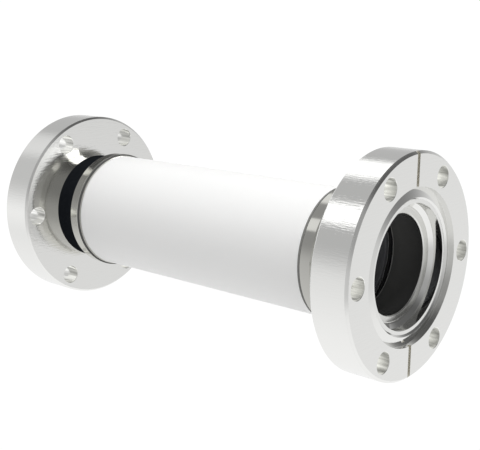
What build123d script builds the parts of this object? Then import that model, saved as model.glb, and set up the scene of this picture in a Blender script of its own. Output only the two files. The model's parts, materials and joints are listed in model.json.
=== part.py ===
from build123d import *
import math
import os

# Ceramic vacuum break: an alumina tube that joins two knife-edge vacuum flanges and keeps
# them electrically apart. Sizes are in millimetres. The axis of the tube is Z, the sealing
# face of the lower flange is the plane Z = 0, and both ends are alike. A depth is measured
# from the sealing face of an end, into the part.

# Whole part, from one sealing face to the other
overall_length = 154.3

# Flange
flange_diameter = 69.34
flange_thickness = 12.7
flange_front_bevel = 0.8
flange_back_bevel = 0.7

# Bolt holes, on a circle that lies this far inside the rim
bolt_edge_distance = 5.31
bolt_hole_count = 6
bolt_hole_diameter = 6.73
first_bolt_angle = 30.0

# Gasket recess inside the bolt circle. Its floor rises to the knife edge, a sharp ring that
# bites into the gasket, and falls again on the short flank inside it.
recess_wall_distance = 5.21
knife_tip_depth = 0.64
knife_ramp_width = 3.2
knife_ramp_slope = 20.0
knife_flank_width = 0.6
knife_flank_height = 0.61

# Flat land inside the knife edge, the throat below it and the step to the tube's seat
land_width = 1.15
throat_length = 3.05
throat_step_width = 1.37
throat_step_length = 1.2

# Leak check grooves across the sealing face, one on each side
leak_groove_count = 2
leak_groove_width = 1.4
leak_groove_depth = 0.9
leak_groove_run_in = 0.6

# Stub tube welded into the flange. It reaches a little behind the flange.
tube_wall = 2.4
tube_reach = 4.2

# Adapter sleeve, a dark neck that joins the stub tube to the tongue of the ceramic
neck_wall = 1.87
neck_length = 8.5

# End collar round the end of the adapter sleeve
collar_wall = 1.62
collar_length = 5.7
collar_bevel_length = 1.1
collar_bevel_height = 0.45

# Ceramic tube, with a thinner tongue at each end that sits in the adapter sleeve
ceramic_shoulder_height = 0.9
ceramic_shoulder_bevel = 0.5
tongue_wall = 1.8
tongue_gap = 2.7

# Clearances between pieces that fit into each other, on the radius
tube_fit = 0.03
tongue_fit = 0.03
collar_fit = 0.03

# Radii that follow, from the rim inwards to the bore and out again to the collar
rim_radius = flange_diameter / 2
bolt_circle_radius = rim_radius - bolt_edge_distance
recess_radius = bolt_circle_radius - recess_wall_distance
knife_radius = recess_radius - knife_ramp_width
land_radius = knife_radius - knife_flank_width
throat_radius = land_radius - land_width
seat_radius = throat_radius - throat_step_width
tube_radius = seat_radius - tube_fit
tube_bore_radius = tube_radius - tube_wall
neck_radius = seat_radius + neck_wall
tongue_radius = seat_radius - tongue_fit
ceramic_bore_radius = tongue_radius - tongue_wall
ceramic_radius = neck_radius + ceramic_shoulder_height
collar_bore_radius = neck_radius + collar_fit
collar_radius = collar_bore_radius + collar_wall

# Depths that follow, from the sealing face inwards
recess_depth = knife_tip_depth + knife_ramp_width * math.tan(math.radians(knife_ramp_slope))
land_depth = knife_tip_depth + knife_flank_height
throat_depth = land_depth + throat_length
tube_face_depth = throat_depth + throat_step_length
tube_end_depth = flange_thickness + tube_reach
tongue_end_depth = tube_end_depth + tongue_gap
collar_start_depth = flange_thickness + neck_length
shoulder_depth = collar_start_depth + collar_length


def turned(section):
    """Return the solid that a closed section of (radius, depth) points makes about Z."""
    with BuildPart() as piece:
        with BuildSketch(Plane.XZ):
            with BuildLine():
                Polyline(*section, close=True)
            make_face()
        revolve(axis=Axis.Z)
    return piece.part


def plain_ring(bore, outer, low, high):
    """Return a ring with square edges between two radii and two depths."""
    return turned([(bore, low), (outer, low), (outer, high), (bore, high)])


def other_end(piece):
    """Return the mirror image of a piece, at the upper end of the part."""
    return mirror(piece, about=Plane.XY.offset(overall_length / 2))


def make_flange():
    """Flange with its knife edge, bolt holes and leak check grooves."""
    blank = turned([
        (rim_radius - flange_front_bevel, 0),
        (recess_radius, 0),
        (recess_radius, recess_depth),
        (knife_radius, knife_tip_depth),
        (land_radius, land_depth),
        (throat_radius, land_depth),
        (throat_radius, throat_depth),
        (seat_radius, tube_face_depth),
        (seat_radius, flange_thickness),
        (rim_radius - flange_back_bevel, flange_thickness),
        (rim_radius, flange_thickness - flange_back_bevel),
        (rim_radius, flange_front_bevel),
    ])
    groove_length = 2 * (rim_radius - recess_radius + leak_groove_run_in)
    with BuildPart() as flange:
        add(blank)
        with PolarLocations(bolt_circle_radius, bolt_hole_count, first_bolt_angle):
            Cylinder(bolt_hole_diameter / 2, 3 * flange_thickness, mode=Mode.SUBTRACT)
        with PolarLocations(rim_radius, leak_groove_count):
            Box(groove_length, leak_groove_width, 2 * leak_groove_depth, mode=Mode.SUBTRACT)
    return flange.part


def make_stub_tube():
    """Short tube whose face lies at the foot of the throat."""
    return plain_ring(tube_bore_radius, tube_radius, tube_face_depth, tube_end_depth)


def make_adapter_sleeve():
    """Neck from the back of the flange to the shoulder of the ceramic."""
    return plain_ring(seat_radius, neck_radius, flange_thickness, shoulder_depth)


def make_end_collar():
    """Ring with both outer edges bevelled."""
    bevel_foot = collar_radius - collar_bevel_height
    return turned([
        (collar_bore_radius, collar_start_depth),
        (bevel_foot, collar_start_depth),
        (collar_radius, collar_start_depth + collar_bevel_length),
        (collar_radius, shoulder_depth - collar_bevel_length),
        (bevel_foot, shoulder_depth),
        (collar_bore_radius, shoulder_depth),
    ])


def make_ceramic_tube():
    """Insulating tube, with a bevelled shoulder and a tongue at each end."""
    lower_end = [
        (ceramic_bore_radius, tongue_end_depth),
        (tongue_radius, tongue_end_depth),
        (tongue_radius, shoulder_depth),
        (ceramic_radius - ceramic_shoulder_bevel, shoulder_depth),
        (ceramic_radius, shoulder_depth + ceramic_shoulder_bevel),
    ]
    upper_end = [(radius, overall_length - depth) for radius, depth in reversed(lower_end)]
    return turned(lower_end + upper_end)


end_pieces = {
    "flange": make_flange(),
    "stub_tube": make_stub_tube(),
    "adapter_sleeve": make_adapter_sleeve(),
    "end_collar": make_end_collar(),
}

nodes = {"ceramic_tube": make_ceramic_tube()}
for name, piece in end_pieces.items():
    nodes["lower_" + name] = piece
    nodes["upper_" + name] = other_end(piece)

os.makedirs("parts", exist_ok=True)
for name, piece in nodes.items():
    export_step(piece, "parts/" + name + ".step")
    print(name, "volume", round(piece.volume, 2))
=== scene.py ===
# %% [markdown]
# # Dressing a ceramic vacuum break
#
# This part joins two vacuum flanges through a white ceramic tube, so that the line holds its
# vacuum while its two ends stay electrically apart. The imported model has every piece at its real
# size. This lesson gives each piece the edges and the finish of the real one, and then sets up the
# studio in which it is looked at.

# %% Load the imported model
import json
import math

import bpy
from mathutils import Matrix, Vector


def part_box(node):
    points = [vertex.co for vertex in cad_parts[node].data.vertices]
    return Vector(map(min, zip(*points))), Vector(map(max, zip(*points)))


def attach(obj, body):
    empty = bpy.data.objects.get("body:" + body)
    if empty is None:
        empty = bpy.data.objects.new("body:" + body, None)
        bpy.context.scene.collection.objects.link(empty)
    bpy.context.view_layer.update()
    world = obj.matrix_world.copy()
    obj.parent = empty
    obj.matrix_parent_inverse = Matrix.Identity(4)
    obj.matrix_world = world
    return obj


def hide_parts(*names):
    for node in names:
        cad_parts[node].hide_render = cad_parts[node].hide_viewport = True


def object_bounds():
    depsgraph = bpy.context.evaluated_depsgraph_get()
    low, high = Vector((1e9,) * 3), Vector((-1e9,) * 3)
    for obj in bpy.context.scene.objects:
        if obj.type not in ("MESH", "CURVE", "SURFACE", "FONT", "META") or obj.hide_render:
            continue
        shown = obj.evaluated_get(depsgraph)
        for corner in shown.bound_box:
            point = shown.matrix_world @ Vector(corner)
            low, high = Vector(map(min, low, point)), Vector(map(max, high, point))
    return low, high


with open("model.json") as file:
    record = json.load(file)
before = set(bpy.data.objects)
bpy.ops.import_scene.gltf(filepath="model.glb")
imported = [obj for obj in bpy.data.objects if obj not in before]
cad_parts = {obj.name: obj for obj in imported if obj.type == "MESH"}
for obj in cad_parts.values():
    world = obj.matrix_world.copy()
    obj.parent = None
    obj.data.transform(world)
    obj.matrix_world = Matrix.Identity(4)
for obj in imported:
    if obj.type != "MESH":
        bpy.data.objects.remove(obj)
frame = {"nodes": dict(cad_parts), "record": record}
cad_low, cad_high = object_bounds()
print("pieces in the packed model:", sorted(frame["nodes"]))

# %% [markdown]
# ## Sizes
#
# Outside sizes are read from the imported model, so that this file can't disagree with it. A box
# says nothing about a bore, so the wall thicknesses are written here. Heights are measured from
# the sealing face of the lower flange. Both ends are alike, so every end piece is modelled at the
# lower end and then mirrored.

# %% Read the outside sizes, and name the inside ones
MM = 0.001
slip_fit = 0.03 * MM
tube_wall = 2.4 * MM
sleeve_wall = 1.87 * MM
tongue_wall = 1.8 * MM

overall_length = cad_high.z
mid_height = overall_length / 2

flange_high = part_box("lower_flange")[1]
rim_radius = flange_high.x
flange_thickness = flange_high.z

tube_low, tube_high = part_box("lower_stub_tube")
tube_radius = tube_high.x
tube_face_height = tube_low.z
tube_end_height = tube_high.z
tube_bore_radius = tube_radius - tube_wall

sleeve_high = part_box("lower_adapter_sleeve")[1]
neck_radius = sleeve_high.x
shoulder_height = sleeve_high.z
seat_radius = neck_radius - sleeve_wall

collar_low, collar_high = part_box("lower_end_collar")
collar_radius = collar_high.x
collar_start = collar_low.z
collar_bore_radius = neck_radius + slip_fit

ceramic_low, ceramic_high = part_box("ceramic_tube")
ceramic_radius = ceramic_high.x
tongue_end_height = ceramic_low.z
tongue_radius = seat_radius - slip_fit
ceramic_bore_radius = tongue_radius - tongue_wall
print("rim", round(rim_radius / MM, 2), "collar", round(collar_radius / MM, 2), "mm in radius")

# %% [markdown]
# The bolts' places come from the record, where they are stated as a mount. The profile of the
# sealing face follows from them: a gasket recess inside the bolts, and a floor that climbs at 20
# degrees to the knife edge. The land, the throat and the tube's seat lie further in.

# %% Measure the flange's profile from the bolt circle inwards
bolts = next(mount for mount in frame["record"]["mounts"] if mount["name"] == "lower_bolts")
bolt_circle_radius = bolts["dims"]["pcd_mm"] / 2 * MM
bolt_hole_radius = bolts["dims"]["hole_r_mm"] * MM
bolt_count = bolts["dims"]["count"]
first_bolt_angle = math.radians(30)

recess_inset = 5.21 * MM
slope_width = 3.2 * MM
slope_angle = math.radians(20)
knife_back_width = 0.6 * MM
land_width = 1.15 * MM
knife_tip_depth = 0.64 * MM
land_drop = 0.61 * MM
throat_length = 3.05 * MM

recess_radius = bolt_circle_radius - recess_inset
knife_radius = recess_radius - slope_width
land_radius = knife_radius - knife_back_width
throat_radius = land_radius - land_width
recess_depth = knife_tip_depth + slope_width * math.tan(slope_angle)
land_depth = knife_tip_depth + land_drop
throat_depth = land_depth + throat_length
print("knife edge", round(knife_radius / MM, 2), "throat", round(throat_radius / MM, 2), "mm")

# %% [markdown]
# ## Choosing a piece
#
# An operator works on all that is selected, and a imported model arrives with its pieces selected.
# So everything is deselected first, and then one piece is made active. These few lines do in code
# what a click on a piece does in the window.

# %% Helpers that choose a piece


def deselect_all():
    """Nothing is selected, so an operator can't reach a piece that it isn't meant for."""
    bpy.ops.object.select_all(action="DESELECT")


def make_active(piece):
    """Select one piece alone."""
    deselect_all()
    piece.select_set(True)
    bpy.context.view_layer.objects.active = piece


def apply_place(piece):
    """Move a piece's place, turn and scale into its mesh."""
    make_active(piece)
    bpy.ops.object.transform_apply(location=True, rotation=True, scale=True)


def edit_all(piece):
    """Open a piece in edit mode with all of it selected."""
    make_active(piece)
    bpy.ops.object.mode_set(mode="EDIT")
    bpy.ops.mesh.select_all(action="SELECT")


def describe(piece):
    """Print how many faces a piece has, how far it reaches from the axis and where it lies."""
    heights = [point.co.z / MM for point in piece.data.vertices]
    print(
        piece.name, len(piece.data.polygons), "faces, radius",
        round(piece.dimensions.x / 2 / MM, 2), "mm, height",
        round(min(heights), 2), "to", round(max(heights), 2), "mm",
    )


deselect_all()
print("pieces still selected:", len(bpy.context.selected_objects))

# %% [markdown]
# ## The lathe
#
# Nearly every piece here was made on a lathe. A lathe part is a closed section that goes once
# round the axis. It could be drawn and spun, but a circle that is pushed along the section is
# easier to follow: each step extrudes the edge loop and scales it to the next radius. The last
# step ends on the first loop, where doubled points are merged, so the ring is closed.

# %% Turn a closed section into a ring
RING_SEGMENTS = 240
MERGE_DISTANCE = 0.001 * MM


def turned_ring(name, section):
    """Push a circle along a closed section of (radius, height) points about the axis."""
    deselect_all()
    radius, height = section[0]
    bpy.ops.mesh.primitive_circle_add(
        vertices=RING_SEGMENTS, radius=radius, location=(0, 0, height)
    )
    ring = bpy.context.object
    ring.name = name
    apply_place(ring)
    bpy.ops.object.mode_set(mode="EDIT")
    bpy.ops.mesh.select_mode(type="EDGE")
    bpy.ops.mesh.select_all(action="SELECT")
    for next_radius, next_height in section[1:] + section[:1]:
        rise = next_height - height
        growth = next_radius / radius
        bpy.ops.mesh.extrude_region_move(TRANSFORM_OT_translate={"value": (0, 0, rise)})
        bpy.ops.transform.resize(value=(growth, growth, 1), center_override=(0, 0, 0))
        radius, height = next_radius, next_height
    bpy.ops.mesh.select_all(action="SELECT")
    bpy.ops.mesh.remove_doubles(threshold=MERGE_DISTANCE)
    bpy.ops.mesh.normals_make_consistent(inside=False)
    bpy.ops.object.mode_set(mode="OBJECT")
    return ring


print("one turn has", RING_SEGMENTS, "steps of", 360 / RING_SEGMENTS, "degrees")

# %% [markdown]
# No real edge is quite sharp. A Bevel modifier breaks the edges of a turned piece by a few
# hundredths of a millimetre, enough for a thin line of light along them. Smooth shading by angle
# keeps those edges crisp, and weighted normals stop the small faces of the bevel from bending the
# light on the large flat ones.

# %% Helpers that finish a piece
SHARP_ANGLE = math.radians(24)
EASED_SEGMENTS = 2
EASED_ANGLE = math.radians(20)


def shade_by_angle(piece):
    """Smooth the round faces and keep the turned edges crisp."""
    make_active(piece)
    bpy.ops.object.shade_smooth_by_angle(angle=SHARP_ANGLE)


def ease_edges(piece, width):
    """Break the sharp edges of a turned piece, as a file or a tool's nose does."""
    make_active(piece)
    bevel = piece.modifiers.new("eased edges", "BEVEL")
    bevel.width = width
    bevel.segments = EASED_SEGMENTS
    bevel.limit_method = "ANGLE"
    bevel.angle_limit = EASED_ANGLE
    bpy.ops.object.modifier_apply(modifier=bevel.name)


def even_normals(piece):
    """Let the large faces set the shading, so a flat face shades flat up to its edge."""
    make_active(piece)
    weighting = piece.modifiers.new("even normals", "WEIGHTED_NORMAL")
    weighting.weight = 100
    weighting.keep_sharp = True
    bpy.ops.object.modifier_apply(modifier=weighting.name)


def mirrored_end(piece, name):
    """Copy a finished end piece to the upper end, with a mesh of its own."""
    make_active(piece)
    bpy.ops.object.duplicate(linked=False)
    twin = bpy.context.object
    twin.name = name
    edit_all(twin)
    bpy.ops.transform.resize(value=(1, 1, -1), center_override=(0, 0, mid_height))
    bpy.ops.mesh.flip_normals()
    bpy.ops.object.mode_set(mode="OBJECT")
    return twin


def both_ends(piece, twin_name, flat_faces=False):
    """Shade a lower end piece, and return its mirrored twin at the upper end."""
    shade_by_angle(piece)
    twin = mirrored_end(piece, twin_name)
    if flat_faces:
        even_normals(piece)
        even_normals(twin)
    describe(piece)
    describe(twin)
    return twin


print("edges sharper than", round(math.degrees(SHARP_ANGLE)), "degrees stay crisp")

# %% [markdown]
# ## Flange
#
# The flange is a stainless ring. Its sealing face has a gasket recess, whose floor climbs to a
# knife edge that bites into a copper gasket. The section is turned first, then its edges are
# eased, and only then are the holes cut, because a bevel works best on a clean lathe shape.

# %% Turn the flange's blank
front_bevel = 0.8 * MM
back_bevel = 0.7 * MM
flange_section = [
    (rim_radius - front_bevel, 0),
    (recess_radius, 0),
    (recess_radius, recess_depth),
    (knife_radius, knife_tip_depth),
    (land_radius, land_depth),
    (throat_radius, land_depth),
    (throat_radius, throat_depth),
    (seat_radius, tube_face_height),
    (seat_radius, flange_thickness),
    (rim_radius - back_bevel, flange_thickness),
    (rim_radius, flange_thickness - back_bevel),
    (rim_radius, front_bevel),
]
lower_flange = turned_ring("flange_lower", flange_section)
ease_edges(lower_flange, width=0.04 * MM)
describe(lower_flange)

# %% [markdown]
# ### Bolt holes
#
# A drill leaves a round wall, and a light touch of a countersink takes its burr off. Both are cut
# at once by a plug whose ends flare by a hair. One plug is modelled, and the others are copies of
# it that are turned about the axis.

# %% Model the air of one bolt hole
hole_burr = 0.1 * MM
plug_overrun = 1.0 * MM
plug_segments = 72


def bolt_plug():
    """Drill bit in reverse: the air of one bolt hole, with a small flare at each face."""
    deselect_all()
    flare = bolt_hole_radius + hole_burr + plug_overrun
    centre = (bolt_circle_radius, 0, 0)
    bpy.ops.mesh.primitive_circle_add(
        vertices=plug_segments, radius=flare, fill_type="NGON",
        location=(bolt_circle_radius, 0, -plug_overrun),
    )
    plug = bpy.context.object
    apply_place(plug)
    bpy.ops.object.mode_set(mode="EDIT")
    bpy.ops.mesh.select_mode(type="FACE")
    bpy.ops.mesh.select_all(action="SELECT")
    top = flange_thickness + plug_overrun
    heights = [-plug_overrun, hole_burr, flange_thickness - hole_burr, top]
    radii = [flare, bolt_hole_radius, bolt_hole_radius, flare]
    for step in range(1, len(heights)):
        rise = heights[step] - heights[step - 1]
        growth = radii[step] / radii[step - 1]
        bpy.ops.mesh.extrude_region_move(TRANSFORM_OT_translate={"value": (0, 0, rise)})
        bpy.ops.transform.resize(value=(growth, growth, 1), center_override=centre)
    bpy.ops.mesh.select_all(action="SELECT")
    bpy.ops.mesh.normals_make_consistent(inside=False)
    bpy.ops.object.mode_set(mode="OBJECT")
    return plug


bolt_air = bolt_plug()
print("bolt hole plug:", len(bolt_air.data.polygons), "faces")

# %% [markdown]
# ### Leak check grooves
#
# Two shallow saw cuts run from the recess to the rim. Through them helium reaches the gasket when
# the joint is tested for leaks. A box that is a little too long at both ends cuts each of them,
# because a cutter that ends exactly on a wall leaves a ragged edge there.

# %% Model the air of one groove
groove_width = 1.4 * MM
groove_depth = 0.9 * MM
groove_run_in = 0.6 * MM
groove_count = 2


def groove_bar():
    """The air of one leak check groove, from just inside the recess to past the rim."""
    deselect_all()
    inner = recess_radius - groove_run_in
    outer = rim_radius + plug_overrun
    bpy.ops.mesh.primitive_cube_add(size=1, location=((inner + outer) / 2, 0, 0))
    bar = bpy.context.object
    bar.scale = (outer - inner, groove_width, 2 * groove_depth)
    apply_place(bar)
    return bar


groove_air = groove_bar()
print("groove bar:", round(groove_air.dimensions.x / MM, 2), "mm long")

# %% [markdown]
# ### Cutting
#
# The exact boolean solver leaves clean walls, but now and then a sliver with no area as well. The
# slivers are dissolved afterwards, so that the mesh can be printed.

# %% Cut the holes and grooves, and mirror the flange


def turned_copies(piece, count, first_angle):
    """Replace a cutter by copies of it that stand evenly about the axis."""
    copies = []
    for step in range(count):
        copy = piece.copy()
        copy.data = piece.data.copy()
        copy.rotation_euler.z = first_angle + step * math.tau / count
        bpy.context.collection.objects.link(copy)
        apply_place(copy)
        copies.append(copy)
    bpy.data.objects.remove(piece)
    return copies


def cut_with(piece, cutters):
    """Take each cutter's shape out of a piece, and remove the cutter."""
    for cutter in cutters:
        make_active(piece)
        cut = piece.modifiers.new("cut", "BOOLEAN")
        cut.operation = "DIFFERENCE"
        cut.solver = "EXACT"
        cut.object = cutter
        bpy.ops.object.modifier_apply(modifier=cut.name)
        bpy.data.objects.remove(cutter)
    edit_all(piece)
    bpy.ops.mesh.remove_doubles(threshold=MERGE_DISTANCE)
    bpy.ops.mesh.dissolve_degenerate(threshold=MERGE_DISTANCE)
    bpy.ops.object.mode_set(mode="OBJECT")


cut_with(lower_flange, turned_copies(bolt_air, bolt_count, first_bolt_angle))
cut_with(lower_flange, turned_copies(groove_air, groove_count, 0))
upper_flange = both_ends(lower_flange, "flange_upper", flat_faces=True)

# %% [markdown]
# ## Stub tube and its weld
#
# A short tube is welded into the foot of the flange's throat. Its lip is slightly bevelled. The
# last of its bore is a ring of faces of its own, which carries a painted highlight.

# %% Turn the stub tube
lip_bevel = 0.35 * MM
highlight_ring_length = 0.3 * MM
highlight_ring_start = tube_end_height - lip_bevel - highlight_ring_length
tube_section = [
    (tube_bore_radius + lip_bevel, tube_face_height),
    (tube_radius, tube_face_height),
    (tube_radius, tube_end_height),
    (tube_bore_radius + lip_bevel, tube_end_height),
    (tube_bore_radius, tube_end_height - lip_bevel),
    (tube_bore_radius, highlight_ring_start),
    (tube_bore_radius, tube_face_height + lip_bevel),
]
lower_tube = turned_ring("stub_tube_lower", tube_section)
ease_edges(lower_tube, width=0.05 * MM)
upper_tube = both_ends(lower_tube, "stub_tube_upper", flat_faces=True)

# %% [markdown]
# A fusion weld shows as a low round bead where the tube's face meets the flange. Ten points on a
# flat oval are enough for its section, because it stands out by less than a fifth of a millimetre.

# %% Lay the weld bead
weld_half_width = 0.55 * MM
weld_height = 0.18 * MM
weld_sink = 0.1 * MM
weld_points = 10
weld_centre = (seat_radius - weld_sink, tube_face_height + weld_sink)
weld_section = []
for step in range(weld_points):
    turn = math.tau * step / weld_points
    weld_section.append((
        weld_centre[0] + weld_half_width * math.cos(turn),
        weld_centre[1] - weld_height * math.sin(turn),
    ))
lower_weld = turned_ring("weld_bead_lower", weld_section)
upper_weld = both_ends(lower_weld, "weld_bead_upper")

# %% [markdown]
# ## Neck
#
# Behind each flange a neck reaches to the ceramic: a thin sleeve of nickel-iron, which stretches
# with heat as little as the ceramic does. Seen straight on, the neck is painted blue-black as
# painted shade: a thin film of its own, with the bare sleeve under it. A polished flange mirrors
# the neck, and in the mirror it looks bright, not black. So the film is hidden from glossy rays,
# and they meet the sleeve.

# %% Turn the sleeve and its film
film_thickness = 0.03 * MM
nose_drop = 0.34 * MM
nose_foot_height = collar_start - nose_drop
film_end_height = nose_foot_height + 0.1 * MM
skin_radius = neck_radius - film_thickness

sleeve_section = [
    (seat_radius, flange_thickness),
    (skin_radius, flange_thickness),
    (skin_radius, shoulder_height),
    (seat_radius, shoulder_height),
]
lower_sleeve = turned_ring("sleeve_lower", sleeve_section)
upper_sleeve = both_ends(lower_sleeve, "sleeve_upper")

film_section = [
    (skin_radius, flange_thickness),
    (neck_radius, flange_thickness),
    (neck_radius, film_end_height),
    (skin_radius, film_end_height),
]
lower_film = turned_ring("shade_film_lower", film_section)
upper_film = both_ends(lower_film, "shade_film_upper")
for film in (lower_film, upper_film):
    film.visible_glossy = False

# %% [markdown]
# ## End collar
#
# A polished collar grips the joint between neck and ceramic. Its nose is a wide chamfer that
# starts on the neck, and its other end has a small bevel, which the braze nearly covers. All of
# it is one section on the lathe.

# %% Turn the collar
nose_length = 1.36 * MM
collar_bevel_length = 1.1 * MM
collar_bevel_height = 0.45 * MM
bevel_foot = collar_radius - collar_bevel_height
collar_section = [
    (collar_bore_radius, nose_foot_height),
    (collar_radius, nose_foot_height + nose_length),
    (collar_radius, shoulder_height - collar_bevel_length),
    (bevel_foot, shoulder_height),
    (collar_bore_radius, shoulder_height),
]
lower_collar = turned_ring("collar_lower", collar_section)
ease_edges(lower_collar, width=0.06 * MM)
upper_collar = both_ends(lower_collar, "collar_upper", flat_faces=True)

# %% [markdown]
# ## Ceramic tube
#
# The insulator is one tube of white alumina, with a thinner tongue at each end that slips into the
# sleeve. It was ground after firing, so its shoulders are rounded more softly than the metal's
# edges. The rounds are arcs in the section, which gives them their true radius.

# %% Turn the ceramic tube
shoulder_round = 0.35 * MM
tongue_round = 0.3 * MM


def arc_points(centre, radius, start_deg, end_deg, steps):
    """Points on an arc in a section, from one angle to another."""
    points = []
    for step in range(steps + 1):
        angle = math.radians(start_deg + (end_deg - start_deg) * step / steps)
        across = centre[0] + radius * math.cos(angle)
        points.append((across, centre[1] + radius * math.sin(angle)))
    return points


def ceramic_end():
    """Section of the lower end, from the bore out to the straight outside wall."""
    tongue_centre = (ceramic_bore_radius + tongue_round, tongue_end_height + tongue_round)
    shoulder_centre = (ceramic_radius - shoulder_round, shoulder_height + shoulder_round)
    tongue_arc = arc_points(tongue_centre, tongue_round, 180, 270, 3)
    shoulder_arc = arc_points(shoulder_centre, shoulder_round, -90, 0, 8)
    tongue = [(tongue_radius, tongue_end_height), (tongue_radius, shoulder_height)]
    return tongue_arc + tongue + shoulder_arc


lower_half = ceramic_end()
upper_half = [(radius, overall_length - height) for radius, height in reversed(lower_half)]
ceramic = turned_ring("ceramic_wall", lower_half + upper_half)
shade_by_angle(ceramic)
describe(ceramic)

# %% [markdown]
# ## Braze band
#
# The braze that joins collar and ceramic creeps out of the joint and sets as a narrow band over
# the collar's bevel and in the corner beside it. Its dark colour is partly the braze and partly
# painted shade of the gap between collar and ceramic. It is thin, but it draws the line that parts
# the metal from the white. The first two points of its section start it on the collar, the next
# two are its lip beside the ceramic, and the last three lie hidden under the ceramic's rounded
# shoulder.

# %% Lay the braze band
band_start = shoulder_height - 0.95 * MM
fillet_section = [
    (bevel_foot - 0.3 * MM, band_start + 0.1 * MM),
    (collar_radius + 0.01 * MM, band_start),
    (ceramic_radius + 0.54 * MM, shoulder_height - 0.14 * MM),
    (ceramic_radius + 0.5 * MM, shoulder_height - 0.06 * MM),
    (ceramic_radius - 0.35 * MM, shoulder_height - 0.03 * MM),
    (ceramic_radius - 0.45 * MM, shoulder_height + 0.03 * MM),
    (ceramic_radius - 0.6 * MM, shoulder_height - 0.1 * MM),
]
lower_fillet = turned_ring("braze_fillet_lower", fillet_section)
upper_fillet = both_ends(lower_fillet, "braze_fillet_upper")

# %% [markdown]
# ## Finishes
#
# The metals differ in how they were worked, so each finish is a material of its own with a
# Principled BSDF. What is the same all over is set on its sockets. What changes over the surface,
# such as scratches and stains, comes from noise that reads the place on the piece. A few small
# helpers wire up the nodes, so that the cells after them can be read like a recipe.

# %% Helpers that wire up nodes


def feed(tree, socket, value):
    """Give a socket a plain value, or what comes out of another node."""
    if isinstance(value, bpy.types.NodeSocket):
        tree.links.new(value, socket)
    else:
        socket.default_value = value


def math_node(tree, operation, first, second=0.0):
    """A Math node on numbers or on what comes out of other nodes."""
    node = tree.nodes.new("ShaderNodeMath")
    node.operation = operation
    feed(tree, node.inputs[0], first)
    feed(tree, node.inputs[1], second)
    return node.outputs[0]


def ramp(tree, value, start, end, low=0.0, high=1.0, smooth=False):
    """A value that runs from low to high while another runs between two marks."""
    node = tree.nodes.new("ShaderNodeMapRange")
    node.interpolation_type = "SMOOTHSTEP" if smooth else "LINEAR"
    node.inputs["From Min"].default_value = start
    node.inputs["From Max"].default_value = end
    node.inputs["To Min"].default_value = low
    node.inputs["To Max"].default_value = high
    tree.links.new(value, node.inputs["Value"])
    return node.outputs["Result"]


def height_of(tree, vector):
    """The height part of a place or a normal."""
    parts = tree.nodes.new("ShaderNodeSeparateXYZ")
    tree.links.new(vector, parts.inputs["Vector"])
    return parts.outputs["Z"]


def axis_distance(tree, place):
    """Distance from the part's axis at each point of the surface."""
    flat = tree.nodes.new("ShaderNodeVectorMath")
    flat.operation = "MULTIPLY"
    flat.inputs[1].default_value = (1, 1, 0)
    tree.links.new(place, flat.inputs[0])
    length = tree.nodes.new("ShaderNodeVectorMath")
    length.operation = "LENGTH"
    tree.links.new(flat.outputs["Vector"], length.inputs[0])
    return length.outputs["Value"]


def middle_distance(tree, place):
    """Height above or below the middle of the part, which is alike for both ends."""
    above = math_node(tree, "SUBTRACT", height_of(tree, place), mid_height)
    return math_node(tree, "ABSOLUTE", above)


def stretched_noise(tree, place, scale, offset, detail):
    """Noise on a place whose axes are first multiplied by their own scales."""
    mapping = tree.nodes.new("ShaderNodeMapping")
    noise = tree.nodes.new("ShaderNodeTexNoise")
    noise.inputs["Scale"].default_value = 1.0
    noise.inputs["Roughness"].default_value = 0.6
    feed(tree, mapping.inputs["Vector"], place)
    feed(tree, mapping.inputs["Scale"], scale)
    feed(tree, mapping.inputs["Location"], offset)
    feed(tree, noise.inputs["Vector"], mapping.outputs["Vector"])
    feed(tree, noise.inputs["Detail"], detail)
    return noise.outputs["Fac"]


print("the middle of the part lies", round(mid_height / MM, 2), "mm up")

# %% [markdown]
# ### Grain
#
# Scratches and mottle are never even. Both are drawn by one kind of noise, whose
# grains can be made long in one direction: the place on the piece is multiplied by a scale for
# each axis, and a smaller scale gives a longer grain. Nearly every material uses it, so it is a
# node group with inputs of its own that is built once.

# %% Make the grain group


def new_group(name, inputs, output):
    """An empty shader node group, with the sockets that it is given and its one result."""
    group = bpy.data.node_groups.new(name, "ShaderNodeTree")
    for label, kind in inputs:
        group.interface.new_socket(label, in_out="INPUT", socket_type=kind)
    group.interface.new_socket(output, in_out="OUTPUT", socket_type="NodeSocketFloat")
    given = group.nodes.new("NodeGroupInput").outputs
    return group, given, group.nodes.new("NodeGroupOutput").inputs[output]


grain_inputs = [
    ("Place", "NodeSocketVector"),
    ("Scale", "NodeSocketVector"),
    ("Offset", "NodeSocketVector"),
    ("Detail", "NodeSocketFloat"),
]
grain_group, given, result = new_group("grain", grain_inputs, "Grain")
grain = stretched_noise(
    grain_group, given["Place"], given["Scale"], given["Offset"], given["Detail"]
)
grain_group.links.new(grain, result)


def grain_on(tree, place, scale, detail, offset=0.0):
    """Place the grain group in a tree, with a scale for each axis."""
    node = tree.nodes.new("ShaderNodeGroup")
    node.node_tree = grain_group
    node.inputs["Scale"].default_value = scale
    node.inputs["Offset"].default_value = (offset, offset, offset)
    node.inputs["Detail"].default_value = detail
    tree.links.new(place, node.inputs["Place"])
    return node.outputs["Grain"]


print(grain_group.name, "group takes", [label for label, kind in grain_inputs])

# %% [markdown]
# ### Brushing
#
# A brush or a belt leaves fine scratches that run one way, and a long grain looks like them. The
# flat faces were brushed straight across, and the rim along its width. So this group makes two
# grains and lets each show only where it belongs, by the way the face looks and by its distance
# from the axis. It asks for the radius past which a face counts as rim.

# %% Make the brushing group
flat_scratches = (1900, 190, 1900)
rim_scratches = (2400, 2400, 260)
flat_scratch_share = 1.3
flat_facing = 0.95

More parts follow.
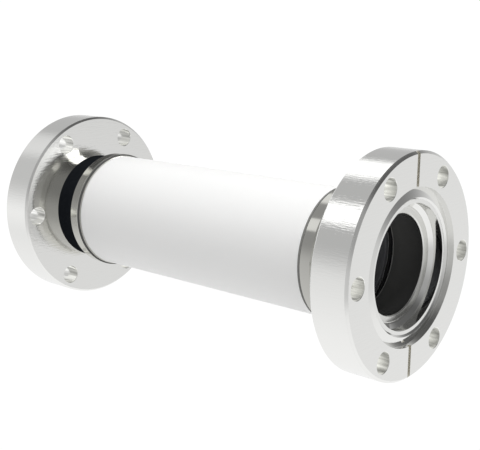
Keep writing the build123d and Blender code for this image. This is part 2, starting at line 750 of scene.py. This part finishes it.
brushing_inputs = [("Rim Radius", "NodeSocketFloat")]
brushing, given, result = new_group("brushing", brushing_inputs, "Scratches")
coordinates = brushing.nodes.new("ShaderNodeTexCoord")
place = coordinates.outputs["Object"]
facing = math_node(brushing, "ABSOLUTE", height_of(brushing, coordinates.outputs["Normal"]))
flat_share = math_node(brushing, "GREATER_THAN", facing, flat_facing)
outward = axis_distance(brushing, place)
rim_share = math_node(brushing, "GREATER_THAN", outward, given["Rim Radius"])
across_flat = grain_on(brushing, place, flat_scratches, 3.0)
across_flat = math_node(brushing, "MULTIPLY", across_flat, flat_scratch_share)
across_flat = math_node(brushing, "MULTIPLY", across_flat, flat_share)
along_rim = grain_on(brushing, place, rim_scratches, 3.0, offset=7.0)
along_rim = math_node(brushing, "MULTIPLY", along_rim, rim_share)
both = math_node(brushing, "ADD", across_flat, along_rim)
brushing.links.new(both, result)
print(brushing.name, "group:", len(brushing.nodes), "nodes")

# %% [markdown]
# ### How a finish is put together
#
# A material starts as one plain colour with one gloss. These helpers then make it live: they let
# colour or gloss run between two values, by grain or by place, and they raise a bump that only
# the shading sees. Edges and grooves are real meshes, and a bump is kept for finer marks.

# %% Helpers that make a material
COLOUR_EDGE = 0.2 * MM
GRAIN_LOW = 0.25
GRAIN_HIGH = 0.75
# A Mix node has sockets for each kind of value, and its colours are at these places.
FIRST_SHADE = 6
SECOND_SHADE = 7
MIXED_SHADE = 2


def new_material(name, colour, roughness, metallic):
    """A material with its Principled BSDF, and the position that patterns are read from."""
    material = bpy.data.materials.new(name)
    material.use_nodes = True
    tree = material.node_tree
    shader = tree.nodes["Principled BSDF"]
    shader.inputs["Base Color"].default_value = (*colour, 1)
    shader.inputs["Roughness"].default_value = roughness
    shader.inputs["Metallic"].default_value = metallic
    return material, tree, shader, tree.nodes.new("ShaderNodeTexCoord").outputs["Object"]


def vary_colour(tree, shader, factor, first, second):
    """Let the base colour run between two shades."""
    mix = tree.nodes.new("ShaderNodeMix")
    mix.data_type = "RGBA"
    tree.links.new(factor, mix.inputs["Factor"])
    mix.inputs[FIRST_SHADE].default_value = (*first, 1)
    mix.inputs[SECOND_SHADE].default_value = (*second, 1)
    tree.links.new(mix.outputs[MIXED_SHADE], shader.inputs["Base Color"])


def vary_roughness(tree, shader, grain, low, high):
    """Let the roughness run between two values where a grain is low and high."""
    roughness = ramp(tree, grain, GRAIN_LOW, GRAIN_HIGH, low, high)
    tree.links.new(roughness, shader.inputs["Roughness"])


def paint_bore_shade(tree, shader, place, edge_radius, inside, outside):
    """Paint a bore in a shade colour, and all that lies further out in another."""
    beyond = ramp(tree, axis_distance(tree, place), edge_radius, edge_radius + COLOUR_EDGE)
    vary_colour(tree, shader, beyond, inside, outside)


def paint_light_along(tree, shader, place, lower, upper):
    """Painted light: let the base colour change evenly from the lower end to the upper one."""
    vary_colour(tree, shader, ramp(tree, height_of(tree, place), 0, overall_length), lower, upper)


def add_bump(tree, shader, height, distance):
    """Raise the surface by a height, as far as the shading goes."""
    bump = tree.nodes.new("ShaderNodeBump")
    bump.inputs["Strength"].default_value = 1.0
    bump.inputs["Distance"].default_value = distance
    tree.links.new(height, bump.inputs["Height"])
    tree.links.new(bump.outputs["Normal"], shader.inputs["Normal"])


def add_turning_marks(tree, shader, place):
    """Very fine marks round the axis, as a polished turned piece keeps them."""
    add_bump(tree, shader, grain_on(tree, place, (300, 300, 2500), 2.0), 0.0015 * MM)


print("the packed model brings", len(bpy.data.materials), "materials of its own")

# %% [markdown]
# ### Flange steel
#
# The flanges are stainless steel, turned and then brushed, bright and nearly a mirror. The
# scratches are a bump of a few hundredths of a millimetre, and a coarse grain makes the polish a
# little uneven.

# %% Brushed flange steel
flange_steel, tree, shader, place = new_material("flange_steel", (0.8, 0.8, 0.785), 0.1, 1.0)
scratches = tree.nodes.new("ShaderNodeGroup")
scratches.node_tree = brushing
scratches.inputs["Rim Radius"].default_value = rim_radius - 0.2 * MM
vary_roughness(tree, shader, grain_on(tree, place, (60, 60, 60), 3.0), 0.06, 0.11)
add_bump(tree, shader, scratches.outputs["Scratches"], 0.03 * MM)
print(flange_steel.name, len(tree.nodes), "nodes")

# %% [markdown]
# ### Groove steel
#
# The leak check grooves were sawn and not polished, so their walls are duller than the face. They
# are also a little darker and browner, partly as painted shade in the narrow slots. A fine even
# grain in the roughness is enough at their width.

# %% Sawn steel of the grooves, with painted shade
groove_steel_and_shade, tree, shader, place = new_material("groove_steel_and_shade", (0.72, 0.705, 0.655), 0.3, 1.0)
vary_roughness(tree, shader, grain_on(tree, place, (900, 900, 900), 3.0), 0.22, 0.35)
print(groove_steel_and_shade.name, len(tree.nodes), "nodes")

# %% [markdown]
# ### Drilled steel
#
# A drill that is drawn out leaves long marks on the wall of its hole. They are a grain that is
# long in the hole's direction, as light and dark steel. A deep bright hole is also hard for a
# renderer: light is thrown to and fro in it many times, and the renderer gives up after four
# reflections and leaves black. So a ray that was reflected twice already meets plain light instead
# of steel, as much as such a hole holds on average: little at half its depth and more at its
# mouths, with streaks. A Mix Shader swaps it in by Light Path's Glossy Depth, which counts whole
# reflections, so 1.5 parts the first from the second. The streaks are noise in the material
# itself, because a group's value shouldn't set how strong a light is. Emission sampling is off, so
# that the wall isn't taken for a lamp.

# %% Drilled steel of the bolt holes
deepest_light = 0.32
mouth_light = 1.2
light_margin = 3.0 * MM
streak_reach = 7 * MM
half_thickness = flange_thickness / 2
AFTER_FIRST = 1.5


def mix_with_light(tree, surface, share, colour=(1, 1, 1)):
    """Show plain light in place of a shader, by a share. The caller sets how strong it is."""
    light = tree.nodes.new("ShaderNodeEmission")
    light.inputs["Color"].default_value = (*colour, 1)
    mix = tree.nodes.new("ShaderNodeMixShader")
    tree.links.new(share, mix.inputs["Fac"])
    tree.links.new(surface, mix.inputs[1])
    tree.links.new(light.outputs["Emission"], mix.inputs[2])
    tree.links.new(mix.outputs["Shader"], tree.nodes["Material Output"].inputs["Surface"])
    return light


drilled_steel, tree, shader, place = new_material("drilled_steel", (0.92, 0.92, 0.9), 0.14, 1.0)
vary_roughness(tree, shader, grain_on(tree, place, (200, 200, 40), 2.0), 0.1, 0.16)
drawn_marks = ramp(tree, grain_on(tree, place, (520, 520, 50), 2.0), 0.38, 0.62)
vary_colour(tree, shader, drawn_marks, (0.7, 0.7, 0.68), (1.0, 1.0, 0.98))

bounces = tree.nodes.new("ShaderNodeLightPath")
late = math_node(tree, "GREATER_THAN", bounces.outputs["Glossy Depth"], AFTER_FIRST)
off_centre = math_node(
    tree, "SUBTRACT", middle_distance(tree, place), mid_height - half_thickness
)
off_centre = math_node(tree, "ABSOLUTE", off_centre)
streaks = stretched_noise(tree, place, (260, 260, 1300), (0, 0, 0), 2.0)
streaks = math_node(tree, "MULTIPLY", streaks, streak_reach)
near_mouth = math_node(tree, "ADD", off_centre, streaks)
late_light = mix_with_light(tree, shader.outputs["BSDF"], late, colour=(1, 1, 0.97))
late_strength = ramp(
    tree, near_mouth, light_margin, half_thickness + light_margin, deepest_light, mouth_light
)
tree.links.new(late_strength, late_light.inputs["Strength"])
drilled_steel.cycles.emission_sampling = "NONE"
print(drilled_steel.name, len(tree.nodes), "nodes")

# %% [markdown]
# ### Painted shade in the stub tube
#
# The bore's near-black colour is painted shade, smooth enough to give a faint gloss. The shade is
# darkest behind the lip and lighter towards the middle of the part, so the colour runs by
# depth. It isn't a metal to the eye any more, so Metallic is 0.

# %% Painted shade in the bore of the stub tube
shade_darkest_depth = 6.5 * MM
shade_lightest_depth = 14 * MM
bore_painted_shade, tree, shader, place = new_material("bore_painted_shade", (0.08, 0.08, 0.078), 0.09, 0.0)
shader.inputs["Specular IOR Level"].default_value = 0.4
shade_lightens = ramp(
    tree, middle_distance(tree, place), mid_height - shade_darkest_depth, mid_height - shade_lightest_depth
)
vary_colour(tree, shader, shade_lightens, (0.045, 0.045, 0.044), (0.12, 0.12, 0.116))
print(bore_painted_shade.name, len(tree.nodes), "nodes")

# %% [markdown]
# At the inner end of the bore a ring as narrow as a pencil line is painted lighter than the rest.
# It is a painted highlight, which shows as a thin arc deep in the dark bore.

# %% Painted highlight on the last edge of the tube's bore
painted_highlight_edge, tree, shader, place = new_material("painted_highlight_edge", (0.4, 0.4, 0.38), 0.4, 0.0)
vary_roughness(tree, shader, grain_on(tree, place, (300, 300, 300), 2.0), 0.3, 0.5)
print(painted_highlight_edge.name, len(tree.nodes), "nodes")

# %% [markdown]
# ### Tube steel
#
# The stub tube was drawn through a die, which leaves faint marks along its length. It is a little
# darker and softer in gloss than the brushed flange, and so is the weld that joins them.

# %% Drawn tube steel
tube_steel, tree, shader, place = new_material("tube_steel", (0.72, 0.72, 0.7), 0.2, 1.0)
vary_roughness(tree, shader, grain_on(tree, place, (300, 300, 40), 3.0), 0.16, 0.26)
add_bump(tree, shader, grain_on(tree, place, (900, 900, 120), 3.0), 0.006 * MM)
print(tube_steel.name, len(tree.nodes), "nodes")

# %% [markdown]
# ### Film and sleeve
#
# The film is painted shade: almost black, with a touch of blue, and quite dull. It has no gloss at
# its edges, so its specular level is 0. A fine mottle keeps it from looking like a hole in the
# picture. The bare sleeve under it is a warm grey metal, painted darker inside as shade in its bore.

# %% Blue-black film of the neck as painted shade, and the sleeve under it
neck_metal, tree, shader, place = new_material("neck_metal", (0.01, 0.012, 0.0145), 0.4, 0.0)
shader.inputs["Specular IOR Level"].default_value = 0.0
mottle = grain_on(tree, place, (400, 400, 400), 4.0)
vary_colour(tree, shader, mottle, (0.0075, 0.0088, 0.011), (0.0135, 0.0153, 0.018))
vary_roughness(tree, shader, mottle, 0.26, 0.4)
add_bump(tree, shader, mottle, 0.01 * MM)
print(neck_metal.name, len(tree.nodes), "nodes")

bare_colour = (0.47, 0.467, 0.44)
# Painted shade: the sleeve's bore is darker than its outside.
bore_shade_colour = (0.15, 0.15, 0.15)
sleeve_metal, tree, shader, place = new_material("sleeve_metal", bare_colour, 0.14, 1.0)
paint_bore_shade(tree, shader, place, seat_radius + 0.3 * MM, bore_shade_colour, bare_colour)
add_turning_marks(tree, shader, place)
print(sleeve_metal.name, len(tree.nodes), "nodes")

# %% [markdown]
# ### Collar
#
# The collar was polished on the lathe, with very fine turning marks round it. Its colour carries
# painted light: the lower end is painted lighter than the upper one, and the colour runs along it.

# %% Polished collar
collar_metal, tree, shader, place = new_material("collar_metal", bare_colour, 0.12, 1.0)
paint_light_along(tree, shader, place, (0.67, 0.665, 0.63), (0.41, 0.407, 0.384))
vary_roughness(tree, shader, grain_on(tree, place, (120, 120, 300), 3.0), 0.09, 0.15)
add_turning_marks(tree, shader, place)
print(collar_metal.name, len(tree.nodes), "nodes")

# %% [markdown]
# ### Alumina
#
# Ground alumina is white and matt, with a faint sheen, and its bore is painted grey as shade. One
# grain serves twice, as a bump of two thousandths of a millimetre and in the roughness.

# %% White alumina
alumina, tree, shader, place = new_material("alumina", (0.9, 0.9, 0.89), 0.5, 0.0)
shader.inputs["Specular IOR Level"].default_value = 0.4
fired_grain = grain_on(tree, place, (500, 500, 500), 4.0)
bore_edge = tongue_radius - 0.3 * MM
paint_bore_shade(tree, shader, place, bore_edge, (0.17, 0.175, 0.185), (0.9, 0.9, 0.893))
vary_roughness(tree, shader, fired_grain, 0.45, 0.6)
add_bump(tree, shader, fired_grain, 0.002 * MM)
print(alumina.name, len(tree.nodes), "nodes")

# %% [markdown]
# ### Braze
#
# The braze alloy dulled in the furnace. It is a dark grey with no gloss, partly painted shade of the
# gap, and it is painted darker at the lower end as painted shade.

# %% Dark braze alloy and painted shade
braze_and_painted_shade, tree, shader, place = new_material("braze_and_painted_shade", (0.16, 0.16, 0.155), 0.3, 0.0)
shader.inputs["Specular IOR Level"].default_value = 0.0
paint_light_along(tree, shader, place, (0.065, 0.065, 0.063), (0.25, 0.25, 0.24))
vary_roughness(tree, shader, grain_on(tree, place, (600, 600, 600), 3.0), 0.2, 0.35)
print(braze_and_painted_shade.name, len(tree.nodes), "nodes")

# %% [markdown]
# ## Giving pieces their finishes
#
# Each new piece stands for a node of the imported model, is listed with that node's material slot,
# wears its material and moves with the part's only body. The film, the bead and the band are extra
# pieces and stand for no node.

# %% Dress the pieces
dressed_pieces = [
    (lower_flange, "lower_flange", "flange_steel", flange_steel),
    (lower_tube, "lower_stub_tube", "tube_steel", tube_steel),
    (lower_weld, None, "tube_steel", tube_steel),
    (lower_sleeve, "lower_adapter_sleeve", "neck_metal", sleeve_metal),
    (lower_film, None, "neck_metal", neck_metal),
    (lower_collar, "lower_end_collar", "collar_metal", collar_metal),
    (lower_fillet, None, "collar_metal", braze_and_painted_shade),
    (upper_flange, "upper_flange", "flange_steel", flange_steel),
    (upper_tube, "upper_stub_tube", "tube_steel", tube_steel),
    (upper_weld, None, "tube_steel", tube_steel),
    (upper_sleeve, "upper_adapter_sleeve", "neck_metal", sleeve_metal),
    (upper_film, None, "neck_metal", neck_metal),
    (upper_collar, "upper_end_collar", "collar_metal", collar_metal),
    (upper_fillet, None, "collar_metal", braze_and_painted_shade),
    (ceramic, "ceramic_tube", "ceramic", alumina),
]
for piece, node, slot, material in dressed_pieces:
    piece.data.materials.clear()
    piece.data.materials.append(material)
    if node:
        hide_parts(node)
    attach(piece, "root")
    print(piece.name, "wears", material.name, "and stands for", node or "no node")

# %% [markdown]
# ### Worked faces
#
# Grooves and holes were worked in another way than the face round them. The stub tubes' bores
# take painted shade, with a painted highlight at their inner edge. So all these faces take a
# second material. They are found by their place, not by their number, so they are still found
# when a size changes.

# %% Give worked faces a finish of their own
TOUCH = 0.01 * MM
WALL_TILT = 0.9


def finish_faces(piece, material, belongs):
    """Faces that a test picks out take another finish."""
    piece.data.materials.append(material)
    index = len(piece.data.materials) - 1
    count = 0
    for polygon in piece.data.polygons:
        if belongs(polygon):
            polygon.material_index = index
            count += 1
    print(piece.name, material.name, count, "faces")


def in_groove(face):
    """Inside one of the two leak check grooves of either flange."""
    centre = face.center
    depth = min(abs(centre.z), abs(overall_length - centre.z))
    in_slot = abs(centre.y) < groove_width / 2 + TOUCH
    outside_recess = abs(centre.x) > recess_radius - TOUCH
    return in_slot and outside_recess and TOUCH < depth < groove_depth + TOUCH


def in_bolt_hole(face):
    """On the wall of a bolt hole."""
    centre = face.center
    step = math.tau / bolt_count
    turns = (math.atan2(centre.y, centre.x) - first_bolt_angle) / step
    nearest = first_bolt_angle + step * round(turns)
    away = math.hypot(
        centre.x - bolt_circle_radius * math.cos(nearest),
        centre.y - bolt_circle_radius * math.sin(nearest),
    )
    return away < bolt_hole_radius + hole_burr and abs(face.normal.z) < WALL_TILT


def in_tube_bore(face):
    """On the wall of the stub tube's bore, its lip left bright."""
    return math.hypot(face.center.x, face.center.y) < tube_bore_radius + TOUCH


def on_painted_highlight_edge(face):
    """On the last of the stub tube's bore, at its inner end."""
    height = min(face.center.z, overall_length - face.center.z)
    return in_tube_bore(face) and height > highlight_ring_start


for flange in (lower_flange, upper_flange):
    finish_faces(flange, groove_steel_and_shade, in_groove)
    finish_faces(flange, drilled_steel, in_bolt_hole)
for tube in (lower_tube, upper_tube):
    finish_faces(tube, bore_painted_shade, in_tube_bore)
    finish_faces(tube, painted_highlight_edge, on_painted_highlight_edge)

# %% [markdown]
# ## Studio
#
# A product studio is a pale floor, a large lamp and a dome of soft light. The part stands upright
# on the floor and the camera looks down at it, so the floor fills the picture. For the camera it
# is nearly all plain white light, by Light Path's Is Camera Ray. The rest of it is a pale grey
# that takes the part's shadow. It is left out of reflections, because the dome holds what the
# metal mirrors from below.

# %% Lay the floor
floor_size = 8
floor_white_share = 0.95
floor_white_strength = 1.05


def stage_material(name, under):
    """A material for the studio: a shader of one kind, and its tree."""
    material = bpy.data.materials.new(name)
    material.use_nodes = True
    tree = material.node_tree
    tree.nodes.remove(tree.nodes["Principled BSDF"])
    return material, tree, tree.nodes.new(under)


deselect_all()
bpy.ops.mesh.primitive_plane_add(size=floor_size)
floor = bpy.context.object
floor.name = "studio_floor"
floor_material, tree, floor_diffuse = stage_material("studio_floor", "ShaderNodeBsdfDiffuse")
floor_diffuse.inputs["Color"].default_value = (0.85, 0.85, 0.85, 1)
floor_path = tree.nodes.new("ShaderNodeLightPath")
seen = math_node(tree, "MULTIPLY", floor_path.outputs["Is Camera Ray"], floor_white_share)
floor_white = mix_with_light(tree, floor_diffuse.outputs["BSDF"], seen)
floor_white.inputs["Strength"].default_value = floor_white_strength
floor.data.materials.append(floor_material)
floor.visible_glossy = False
print("floor:", floor_size, "m across")

# %% [markdown]
# ### Bounce card
#
# A photographer holds a white card beside a shiny thing to put a highlight where it is wanted.
# This one is a small eight-sided card beside the lower neck, with its corners in millimetres. It
# shows only to rays that were reflected twice already, so it lights up the neck's mirror image in
# the flange. To all other rays it is clear, by a Transparent shader.

# %% Hang a bounce card that only shows in double reflections
card_distance = 24.3 * MM
card_strength = 3.6
card_corners = [
    (-1.6, 17.6), (5.6, 17.6), (6.9, 22.7), (4.5, 29.2),
    (3.2, 31.2), (-3.4, 31.2), (-5.0, 28.3), (-1.2, 23.7),
]
deselect_all()
bpy.ops.mesh.primitive_circle_add(vertices=len(card_corners), fill_type="NGON")
card = bpy.context.object
card.name = "bounce_card"
for corner, (across, above) in zip(card.data.vertices, card_corners):
    corner.co = (card_distance, across * MM, above * MM)
card_material, tree, card_clear = stage_material("bounce_card", "ShaderNodeBsdfTransparent")
card_path = tree.nodes.new("ShaderNodeLightPath")
twice = math_node(tree, "GREATER_THAN", card_path.outputs["Ray Depth"], AFTER_FIRST)
card_light = mix_with_light(tree, card_clear.outputs["BSDF"], twice)
card_light.inputs["Strength"].default_value = card_strength
card.data.materials.append(card_material)
card_material.cycles.emission_sampling = "NONE"
card.visible_shadow = False
print("bounce card:", len(card_corners), "corners")

# %% [markdown]
# ### Dome of light
#
# Polished metal shows whatever stands round it, so the room is drawn into the world's light.
# Without it a polished rim would look like grey paint. Each part of the room is a range of the
# angle between the ray and a direction. In this frame +X is up in the picture, +Y comes towards
# the camera and +Z runs to the right, and the names below say where a thing is in the picture.

# %% Open the dome
world = bpy.data.worlds.new("studio_dome")
bpy.context.scene.world = world
world.use_nodes = True
world.cycles.sampling_method = "NONE"
dome = world.node_tree
dome.nodes.clear()
dome_out = dome.nodes.new("ShaderNodeOutputWorld")
dome_light = dome.nodes.new("ShaderNodeBackground")
dome_light.inputs["Color"].default_value = (1, 1, 1, 1)
dome_path = dome.nodes.new("ShaderNodeLightPath")
direction = dome.nodes.new("ShaderNodeTexCoord").outputs["Generated"]


def towards(vector):
    """How far a ray looks towards a direction: the cosine of the angle between them."""
    dot = dome.nodes.new("ShaderNodeVectorMath")
    dot.operation = "DOT_PRODUCT"
    dot.inputs[1].default_value = Vector(vector).normalized()
    dome.links.new(direction, dot.inputs[0])
    return dot.outputs["Value"]


def soft(value, start, end, low, high):
    """A smooth change of light between two marks."""
    return ramp(dome, value, start, end, low, high, smooth=True)


def times(first, second):
    """One light or share times another."""
    return math_node(dome, "MULTIPLY", first, second)


def cos_deg(angle):
    """The cosine that towards gives at an angle."""
    return math.cos(math.radians(angle))


print("dome:", world.name)

# %% [markdown]
# The room is a product of soft changes. It is brighter below than above. One corner, up and
# behind the part, is dark and gives the rims their dark band. The right side lies in a little
# shade, and the left one is a little lighter towards the camera.

# %% Draw the walls, the dark corner and the shaded side
upward = towards((1, 0, 0))
rightward = towards((0, 0, 1))
nearward = towards((0, 1, 0))

ground = ramp(dome, upward, -1.0, -0.1, 0.2, 0.0)
walls = soft(upward, -0.15, 0.33, 0.88, 0.54)
light = math_node(dome, "ADD", ground, walls)

left_share = times(soft(rightward, -0.6, -0.78, 0, 1), soft(nearward, -0.2, 0.3, 0, 0.17))
left_share = times(left_share, soft(upward, -0.45, -0.1, 0, 1))
light = times(light, math_node(dome, "ADD", 1.0, left_share))

dark_corner = soft(towards((0.70, -0.50, 0.50)), cos_deg(50), cos_deg(18), 1.0, 0.26)
light = times(light, dark_corner)

right_shade = times(soft(rightward, 0.35, 0.75, 0.0, 1.0), soft(upward, -0.6, -0.3, 0.0, 0.26))
right_shade = times(right_shade, soft(nearward, -0.6, 0.2, 0.3, 1.0))
light = times(light, math_node(dome, "SUBTRACT", 1.0, right_shade))
print("dome walls:", len(dome.nodes), "nodes")

# %% [markdown]
# Bright panels are round patches of light, full inside a first angle and gone past a second one.
# They draw the highlights on rims and bevels. The camera itself sees plain white.

# %% Hang the bright panels, and show white to the camera
panels = [
    ((0.69, 0.47, -0.55), 8, 11, 0.9),
    ((0.77, -0.35, -0.53), 8, 15, 0.9),
    ((0.60, 0.05, -0.80), 2, 16, 0.25),
]
for panel_direction, core, fade, strength in panels:
    panel = soft(towards(panel_direction), cos_deg(fade), cos_deg(core), 0, strength)
    light = math_node(dome, "ADD", light, panel)
dome_strength = dome.nodes.new("ShaderNodeMix")
dome.links.new(dome_path.outputs["Is Camera Ray"], dome_strength.inputs["Factor"])
dome.links.new(light, dome_strength.inputs["A"])
dome_strength.inputs["B"].default_value = 1.0
dome.links.new(dome_strength.outputs["Result"], dome_light.inputs["Strength"])
dome.links.new(dome_light.outputs["Background"], dome_out.inputs["Surface"])
print("bright panels:", len(panels))

# %% [markdown]
# ### Lamp
#
# One large square lamp stands a metre away, on the side that is up in the picture. It gives the
# ceramic its bright upper side and the floor a soft shadow. It is hidden from glossy rays, because
# the dome's panels are what the metal mirrors.

# %% Hang the lamp
lamp_distance = 1.0
lamp_size = 0.8
lamp_data = bpy.data.lights.new("overhead_lamp", "AREA")
lamp_data.shape = "RECTANGLE"
lamp_data.size = lamp_size
lamp_data.size_y = lamp_size
lamp_data.energy = 12.0
lamp = bpy.data.objects.new("overhead_lamp", lamp_data)
lamp.location = (lamp_distance, 0.02, mid_height)
aim = Vector((0, 0, mid_height)) - lamp.location
lamp.rotation_euler = aim.to_track_quat("-Z", "Y").to_euler()
bpy.context.collection.objects.link(lamp)
lamp.visible_glossy = False
print("lamp:", lamp_data.energy, "W,", lamp_distance, "m from the axis")

# %% [markdown]
# ## Camera
#
# The camera was fitted to the flange's rims and holes. It is rolled a quarter turn, because the
# photo shows the tube lying on its side, while the part's own frame stands it up. Its turn is
# built from the two directions that are easy to picture: right, and back towards the eye.

# %% Set the camera
camera_data = bpy.data.cameras.new("camera")
camera_data.sensor_width = 36
camera_data.lens = 68.77
camera_data.shift_x = 0.0625
camera_data.shift_y = 0.0006
camera_data.clip_start = 0.01
camera = bpy.data.objects.new("camera", camera_data)
bpy.context.collection.objects.link(camera)

camera_place = Vector((70.83, 232.35, 286.24)) * MM
right = Vector((-0.0008, -0.6760, 0.7369))
back = Vector((0.2169, 0.7192, 0.6601)).normalized()
right = (right - right.dot(back) * back).normalized()
up = back.cross(right)
turn = Matrix((right, up, back)).transposed()
camera.matrix_world = Matrix.Translation(camera_place) @ turn.to_4x4()
bpy.context.scene.camera = camera
bpy.context.scene.view_settings.view_transform = "Standard"
print("camera:", round(camera_place.length, 3), "m from the lower sealing face")
